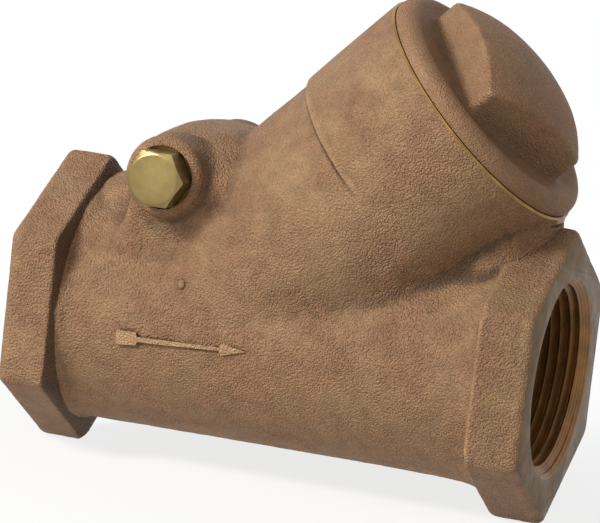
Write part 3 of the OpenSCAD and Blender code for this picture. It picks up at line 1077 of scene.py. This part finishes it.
def add_node(tree, kind, settings=(), inputs=(), links=()):
    """Adds one node. A link names an input, and the node and output that feed it."""
    node = tree.nodes.new("ShaderNode" + kind)
    for name, value in dict(settings).items():
        setattr(node, name, value)
    for name, value in dict(inputs).items():
        node.inputs[name].default_value = value
    for name, (source, output) in dict(links).items():
        tree.links.new(source.outputs[output], node.inputs[name])
    return node


def new_material(name):
    material = bpy.data.materials.new(name)
    material.use_nodes = True
    material.node_tree.nodes.clear()
    return material, material.node_tree


def millimetres(tree):
    place = add_node(tree, "TexCoord")
    return add_node(tree, "Mapping", (), {"Scale": (1000, 1000, 1000)}, {
        "Vector": (place, "Object"),
    })


def noise(tree, coords, size_mm, detail, roughness):
    """Cloudy pattern whose lumps are about as wide as the given size."""
    return add_node(tree, "TexNoise", (), {
        "Scale": 1 / size_mm, "Detail": detail, "Roughness": roughness,
    }, {"Vector": (coords, "Vector")})


def spread(tree, source, low, high, to_low=0.0, to_high=1.0):
    """Stretches a value from one range to another, and stops at its ends."""
    return add_node(tree, "MapRange", {"clamp": True}, {
        "From Min": low, "From Max": high, "To Min": to_low, "To Max": to_high,
    }, {"Value": source})


def blend(tree, factor, first, second, mode="MIX"):
    """Mixes two colours. Each is a hex value or a node with its output."""
    inputs, links = {}, {"Factor": factor}
    for socket, value in ((6, first), (7, second)):
        if isinstance(value, str):
            inputs[socket] = colour(value)
        else:
            links[socket] = value
    return add_node(tree, "Mix", {"data_type": "RGBA", "blend_type": mode}, inputs, links)


# %% [markdown]
# Sand-cast bronze leaves the mould with the grain of the sand in its skin, and tumbling
# rubs its edges. It is a metal, but the skin is so rough and oxidised that it looks nearly
# as matte as clay: half metallic, with broad dull highlights. Sand grains measure about
# 0.3 mm and clump to lumps of 0.7 mm, which is what the eye sees at this distance.

# %% Sand-cast bronze
def collar_foot_line(tree):
    """A thin dark line in the corner below the collar, on its inlet side."""
    place = add_node(tree, "TexCoord")
    inverse = ON_BRANCH.inverted()
    on_branch = add_node(tree, "Mapping", {"vector_type": "POINT"}, {
        "Location": inverse.translation * 1000, "Rotation": inverse.to_euler(),
        "Scale": (1000, 1000, 1000),
    }, {"Vector": (place, "Object")})
    parts = add_node(tree, "SeparateXYZ", (), (), {"Vector": (on_branch, "Vector")})
    above = add_node(tree, "Math", {"operation": "SUBTRACT"}, {1: 50.7}, {0: (parts, "Z")})
    gap = add_node(tree, "Math", {"operation": "ABSOLUTE"}, (), {0: (above, 0)})
    line = spread(tree, (gap, 0), 0.5, 0.15)
    inlet_side = spread(tree, (parts, "X"), 3, -7, 0, 0.75)
    return add_node(tree, "Math", {"operation": "MULTIPLY"}, (), {
        0: (line, 0), 1: (inlet_side, 0),
    })


def cast_bronze(name, tones, grain_mm, grain_depth, dark_collar_line=False):
    material, tree = new_material(name)
    coords = millimetres(tree)
    patches = noise(tree, coords, 13, 3, 0.55)
    mottle = noise(tree, coords, 3.5, 4, 0.6)
    grain = noise(tree, coords, grain_mm, 3, 0.7)
    sand = add_node(tree, "TexVoronoi", {"feature": "SMOOTH_F1"}, {
        "Scale": 1 / (1.3 * grain_mm), "Smoothness": 0.7,
    }, {"Vector": (coords, "Vector")})
    warm = spread(tree, (patches, 0), 0.42, 0.62)
    base = blend(tree, (warm, 0), *tones)
    dull = spread(tree, (mottle, 0), 0.36, 0.68, 0, 0.6)
    base = blend(tree, (dull, 0), (base, 2), "#735840")
    # Paler bead tops: partly the sand's own lighter grains, partly painted glints.
    light = spread(tree, (sand, "Distance"), 0.28, 0.04, 0, 0.7)
    base = blend(tree, (light, 0), (base, 2), "#BE9973")
    pits = spread(tree, (grain, 0), 0.46, 0.3, 0, 0.85)
    base = blend(tree, (pits, 0), (base, 2), "#4C3623")
    proud = add_node(tree, "Attribute", {"attribute_name": "proud"})
    rubbed = spread(tree, (proud, "Fac"), 0.45, 1, 0, 0.4)
    base = blend(tree, (rubbed, 0), (base, 2), "#C9A57C")
    # Painted shade: hollows, and the marks behind the inlet hexagon and beside the pads, are darkened towards
    # #38261A.
    deep = spread(tree, (proud, "Fac"), -0.12, -0.8, 0, 0.75)
    base = blend(tree, (deep, 0), (base, 2), "#38261A")
    # A thin dark line below the collar, on its inlet side.
    if dark_collar_line:
        base = blend(tree, (collar_foot_line(tree), 0), (base, 2), "#38261A")
    rough = spread(tree, (sand, "Distance"), 0.05, 0.32, 0.42, 0.64)
    coarse = add_node(tree, "Attribute", {"attribute_name": "coarse"})
    swell = spread(tree, (patches, 0), 0.38, 0.62, 0.45, 1.1)
    swell = add_node(tree, "Math", {"operation": "ADD"}, (), {
        0: (swell, 0), 1: (coarse, "Fac"),
    })
    beads = add_node(tree, "Math", {"operation": "MULTIPLY"}, {1: 1.7}, {
        0: (sand, "Distance"),
    })
    relief = add_node(tree, "Math", {"operation": "SUBTRACT"}, (), {
        0: (grain, 0), 1: (beads, 0),
    })
    relief = add_node(tree, "Math", {"operation": "MULTIPLY"}, (), {
        0: (relief, 0), 1: (swell, 0),
    })
    bump = add_node(tree, "Bump", (), {"Strength": 1, "Distance": mm(grain_depth)}, {
        "Height": (relief, 0),
    })
    shader = add_node(tree, "BsdfPrincipled", (), {
        "Metallic": 0.4, "Specular IOR Level": 0.35,
    }, {
        "Base Color": (base, 2), "Roughness": (rough, 0), "Normal": (bump, 0),
    })
    add_node(tree, "OutputMaterial", (), (), {"Surface": (shader, 0)})
    return material


body_cast = cast_bronze("bronze_sand_cast", ("#8F7051", "#967053"), 0.32, 0.32, dark_collar_line=True)
bonnet_cast = cast_bronze("bronze_fine_sand_cast", ("#86674A", "#8E684C"), 0.3, 0.16)
print("cast bronze:", len(body_cast.node_tree.nodes), "nodes")


# %% [markdown]
# A lathe tool leaves fine rings on a faced surface. The rings here are a wave pattern on
# the distance from the axis, 0.25 mm apart, so a mapping first lays the axis along Z.

# %% Machined bronze and brass
def turned_metal(name, matrix, tones, ring_mm, ring_depth, metallic, roughness):
    material, tree = new_material(name)
    coords = millimetres(tree)
    place = add_node(tree, "TexCoord")
    inverse = matrix.inverted()
    centred = add_node(tree, "Mapping", {"vector_type": "POINT"}, {
        "Location": inverse.translation * 1000, "Rotation": inverse.to_euler(),
        "Scale": (1000, 1000, 1000),
    }, {"Vector": (place, "Object")})
    wander = noise(tree, coords, 3, 2, 0.5)
    rings = add_node(tree, "TexWave", {
        "wave_type": "RINGS", "rings_direction": "Z", "wave_profile": "SIN",
    }, {
        "Scale": 0.31 / ring_mm, "Distortion": 0.6, "Detail": 2, "Detail Scale": 0.6,
    }, {"Vector": (centred, "Vector")})
    stain = noise(tree, coords, 5, 4, 0.6)
    low, middle, high = tones
    tone = spread(tree, (stain, 0), 0.4, 0.62)
    base = blend(tree, (tone, 0), low, middle)
    lit = spread(tree, (rings, "Fac"), 0.2, 1, 0, 0.35)
    base = blend(tree, (lit, 0), (base, 2), high)
    rough = spread(tree, (wander, 0), 0.3, 0.7, roughness - 0.06, roughness + 0.08)
    bump = add_node(tree, "Bump", (), {"Strength": 1, "Distance": mm(ring_depth)}, {
        "Height": (rings, "Fac"),
    })
    shader = add_node(tree, "BsdfPrincipled", (), {"Metallic": metallic}, {
        "Base Color": (base, 2), "Roughness": (rough, 0), "Normal": (bump, 0),
    })
    add_node(tree, "OutputMaterial", (), (), {"Surface": (shader, 0)})
    return material


# %% [markdown]
# The seat disc is moulded fluoropolymer: pale, waxy and a little translucent, with a soft
# sheen and faint flow marks.

# %% Moulded seat disc
def moulded_plastic():
    material, tree = new_material("fluoropolymer_moulded")
    coords = millimetres(tree)
    flow = noise(tree, coords, 6, 2, 0.5)
    tone = spread(tree, (flow, 0), 0.35, 0.65)
    base = blend(tree, (tone, 0), "#DAD6C8", "#E6E2D6")
    rough = spread(tree, (flow, 0), 0.3, 0.7, 0.34, 0.44)
    skin = noise(tree, coords, 0.8, 2, 0.5)
    bump = add_node(tree, "Bump", (), {"Strength": 1, "Distance": mm(0.02)}, {
        "Height": (skin, 0),
    })
    shader = add_node(tree, "BsdfPrincipled", (), {
        "IOR": 1.36, "Subsurface Weight": 0.2, "Subsurface Scale": 0.001,
    }, {"Base Color": (base, 2), "Roughness": (rough, 0), "Normal": (bump, 0)})
    add_node(tree, "OutputMaterial", (), (), {"Surface": (shader, 0)})
    return material


seat_plastic = moulded_plastic()
print("moulded material:", seat_plastic.name)

# %% Turned finishes of this valve
BRONZE_TONES = ("#513A1D", "#634B27", "#7C6238")
THREAD_TONES = ("#6E4B25", "#8C5D2E", "#AC824A")
EDGE_TONES = ("#8A6636", "#A67F4A", "#C09A62")
BRASS_TONES = ("#7A6941", "#8B794A", "#A48F5C")
face_bronze = turned_metal("bronze_faced", ON_INLET, BRONZE_TONES, 0.5, 0.012, 0.6, 0.5)
edge_bronze = turned_metal("bronze_faced_edge", ON_BRANCH, EDGE_TONES, 0.5, 0.01, 0.6, 0.45)
bore_bronze = turned_metal("bronze_bored", ON_BRANCH, BRONZE_TONES, 0.5, 0.012, 0.8, 0.42)
thread_bronze = turned_metal("bronze_threaded", ON_INLET, THREAD_TONES, 0.5, 0.01, 0.45, 0.45)
plug_brass = turned_metal("brass_turned", ON_PIN, BRASS_TONES, 0.35, 0.012, 0.85, 0.38)
stud_brass = turned_metal("brass_turned_nuts", ON_BRANCH, BRASS_TONES, 0.35, 0.012, 0.85, 0.36)


# %% [markdown]
# The body needs three finishes on one mesh. The skin keeps the first slot, and the faces
# that a cutter left are picked by their place: the end faces and joint, the threads, and
# the seat with the pin's spot faces.

# %% Giving each face its finish
def face_centres(piece):
    centres = np.empty(len(piece.data.polygons) * 3)
    piece.data.polygons.foreach_get("center", centres)
    return centres.reshape(-1, 3)


def in_frame(matrix, points):
    """Radius and height of each point about an axis, in millimetres."""
    inverse = np.array(matrix.inverted())
    local = (points @ inverse[:3, :3].T + inverse[:3, 3]) * 1000
    return np.hypot(local[:, 0], local[:, 1]), local[:, 2]


def finish_body(piece):
    centres = face_centres(piece)
    run_r, run_x = in_frame(Matrix.Identity(4) @ ON_INLET, centres)
    branch_r, branch_h = in_frame(ON_BRANCH, centres)
    pin_r, pin_y = in_frame(ON_PIN, centres)
    slots = np.zeros(len(centres), dtype=np.int32)
    from_end = np.minimum(run_x, RUN_LENGTH - run_x)
    slots[from_end < 0.02] = 1
    slots[(run_r < 21.9) & (from_end < 18.4) & (from_end > 0.01)] = 2
    slots[(run_r < 19.7) & (from_end > 17)] = 0
    on_chamfer = np.abs(branch_r + branch_h - EDGE_R - JOINT_H) < 0.08
    slots[(branch_r < 29) & (branch_h > JOINT_H - 0.02)] = 4
    slots[on_chamfer & (branch_r > 26) & (branch_h > JOINT_H - 0.9)] = 4
    slots[(branch_r < 24.1) & (branch_h > JOINT_H - 15.5)] = 3
    slots[(branch_r < 18.6) & (branch_h > -1.3) & (branch_h < 5.1)] = 3
    slots[(pin_r < 6.7) & (np.abs(pin_y) > 7.4) & (np.abs(pin_y) < 23.3)] = 3
    piece.data.materials.clear()
    for material in [body_cast, face_bronze, thread_bronze, bore_bronze, edge_bronze]:
        piece.data.materials.append(material)
    piece.data.polygons.foreach_set("material_index", slots)
    return slots


def finish_bonnet(piece):
    branch_r, branch_h = in_frame(ON_BRANCH, face_centres(piece))
    slots = np.zeros(len(branch_r), dtype=np.int32)
    slots[branch_h < JOINT_H + 0.02] = 1
    piece.data.materials.clear()
    for material in [bonnet_cast, bore_bronze]:
        piece.data.materials.append(material)
    piece.data.polygons.foreach_set("material_index", slots)


def smooth_shade(piece, degrees=38):
    pick(piece)
    bpy.ops.object.shade_smooth_by_angle(angle=math.radians(degrees))


slots = finish_body(body)
finish_bonnet(bonnet)
FINISHES = [
    (plug_front, plug_brass), (plug_back, plug_brass), (hanger, bonnet_cast),
    (holder, bore_bronze), (seat_disc, seat_plastic), (bent_pin, plug_brass),
]
for piece, material in FINISHES:
    piece.data.materials.clear()
    piece.data.materials.append(material)
for piece in [body, bonnet] + [piece for piece, material in FINISHES]:
    smooth_shade(piece)
for node, material in [
    ("hinge_pin", plug_brass), ("seat_disc_washer", stud_brass), ("seat_disc_nut", stud_brass),
    ("hanger_washer", stud_brass), ("hanger_nut", stud_brass),
]:
    frame["nodes"][node].material_slots[0].material = material
print("faces per finish:", np.bincount(slots).tolist())


# %% [markdown]
# The camera stands where the photographer stood, a little above the run and to the left of
# the valve's middle. Its place and lens were worked out from the two end hexagons, whose
# true sizes are known.

# %% Camera
YAW, PITCH_DOWN, ROLL = 18.37, 8.96, 6.53
CAMERA_DISTANCE = 844.9
LENS = 236.1


def camera_axes():
    yaw, pitch, roll = (math.radians(v) for v in (YAW, PITCH_DOWN, ROLL))
    forward = Vector((
        -math.sin(yaw) * math.cos(pitch), math.cos(yaw) * math.cos(pitch), -math.sin(pitch)
    ))
    right = Vector((math.cos(yaw), math.sin(yaw), 0))
    up = right.cross(forward)
    rolled_right = math.cos(roll) * right + math.sin(roll) * up
    rolled_up = math.cos(roll) * up - math.sin(roll) * right
    return rolled_right, rolled_up, forward


def add_camera():
    right, up, forward = camera_axes()
    aim = Vector((54.46, 0, 14.85)) + 1.09 * right + 0.40 * up
    camera = bpy.data.objects.new("camera", bpy.data.cameras.new("camera"))
    bpy.context.collection.objects.link(camera)
    pose = Matrix((right, up, -forward)).transposed().to_4x4()
    pose.translation = (aim - CAMERA_DISTANCE * forward) / 1000
    camera.matrix_world = pose
    camera.data.lens = LENS
    camera.data.sensor_width = 36
    camera.data.clip_start = 0.05
    bpy.context.scene.camera = camera
    return camera


camera = add_camera()
print("camera at", [round(v, 3) for v in camera.location])


# %% [markdown]
# Soft light comes from large area lamps, as in a product photograph: the main one from the
# upper left, a weaker one from the right, and a broad one above. White surroundings are
# given to the camera and to reflections alone, so they add no light to the object.

# %% Lights and surroundings
def soft_lamp(name, place, target, size, power):
    lamp = bpy.data.lights.new(name, "AREA")
    lamp.shape = "DISK"
    lamp.size = size
    lamp.energy = power
    lamp_object = bpy.data.objects.new(name, lamp)
    bpy.context.collection.objects.link(lamp_object)
    direction = Vector(target) - Vector(place)
    lamp_object.matrix_world = (
        Matrix.Translation(place) @ direction.to_track_quat("-Z", "Y").to_matrix().to_4x4()
    )
    return lamp_object


MIDDLE = (0.058, 0, 0.015)
soft_lamp("key", (-0.43, -0.61, 0.48), MIDDLE, 0.24, 10.4)
soft_lamp("fill", (-0.1, -0.9, 0.1), MIDDLE, 0.5, 0.6)
soft_lamp("top", (0.3, -0.55, 0.6), MIDDLE, 0.6, 1.3)


def seen_white(tree):
    """One where the camera or a reflection sees the surface, and nought for the light."""
    path = add_node(tree, "LightPath")
    glossy = add_node(tree, "Math", {"operation": "MAXIMUM"}, (), {
        0: (path, "Is Camera Ray"), 1: (path, "Is Glossy Ray"),
    })
    return add_node(tree, "Math", {"operation": "MAXIMUM"}, (), {
        0: (glossy, 0), 1: (path, "Is Transmission Ray"),
    })


def white_world():
    world = bpy.data.worlds.new("studio")
    world.use_nodes = True
    tree = world.node_tree
    tree.nodes.clear()
    seen = seen_white(tree)
    lit = add_node(tree, "Background", (), {"Color": (1, 0.94, 0.87, 1), "Strength": 0.1})
    white = add_node(tree, "Background", (), {"Color": (1, 1, 1, 1), "Strength": 1})
    mix = add_node(tree, "MixShader", (), (), {0: (seen, 0), 1: (lit, 0), 2: (white, 0)})
    add_node(tree, "OutputWorld", (), (), {"Surface": (mix, 0)})
    bpy.context.scene.world = world


white_world()


def pale_floor():
    """A round floor under the lowest corner, pale, which keeps only a soft shadow."""
    bpy.ops.object.select_all(action="DESELECT")
    bpy.ops.mesh.primitive_circle_add(
        vertices=96, radius=1.2, fill_type="NGON", location=(0.058, 0, FLOOR_Z)
    )
    floor = bpy.context.object
    floor.name = "studio_floor"
    bpy.ops.object.transform_apply(location=True)
    material, tree = new_material("floor_paper_white")
    seen = seen_white(tree)
    place = add_node(tree, "TexCoord")
    away = add_node(tree, "VectorMath", {"operation": "DISTANCE"}, {1: MIDDLE}, {
        0: (place, "Object"),
    })
    fade = spread(tree, (away, "Value"), 0.06, 0.2, 0.8, 1)
    share = add_node(tree, "Math", {"operation": "MULTIPLY"}, (), {
        0: (seen, 0), 1: (fade, 0),
    })
    paper = add_node(tree, "BsdfDiffuse", (), {"Color": colour("#E8E6E2")})
    glow = add_node(tree, "Emission", (), {"Color": (1, 1, 1, 1), "Strength": 1})
    mix = add_node(tree, "MixShader", (), (), {0: (share, 0), 1: (paper, 0), 2: (glow, 0)})
    add_node(tree, "OutputMaterial", (), (), {"Surface": (mix, 0)})
    floor.data.materials.append(material)
    return floor


FLOOR_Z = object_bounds()[0][2] - 0.0002
pale_floor()
bpy.context.scene.view_settings.view_transform = "Standard"
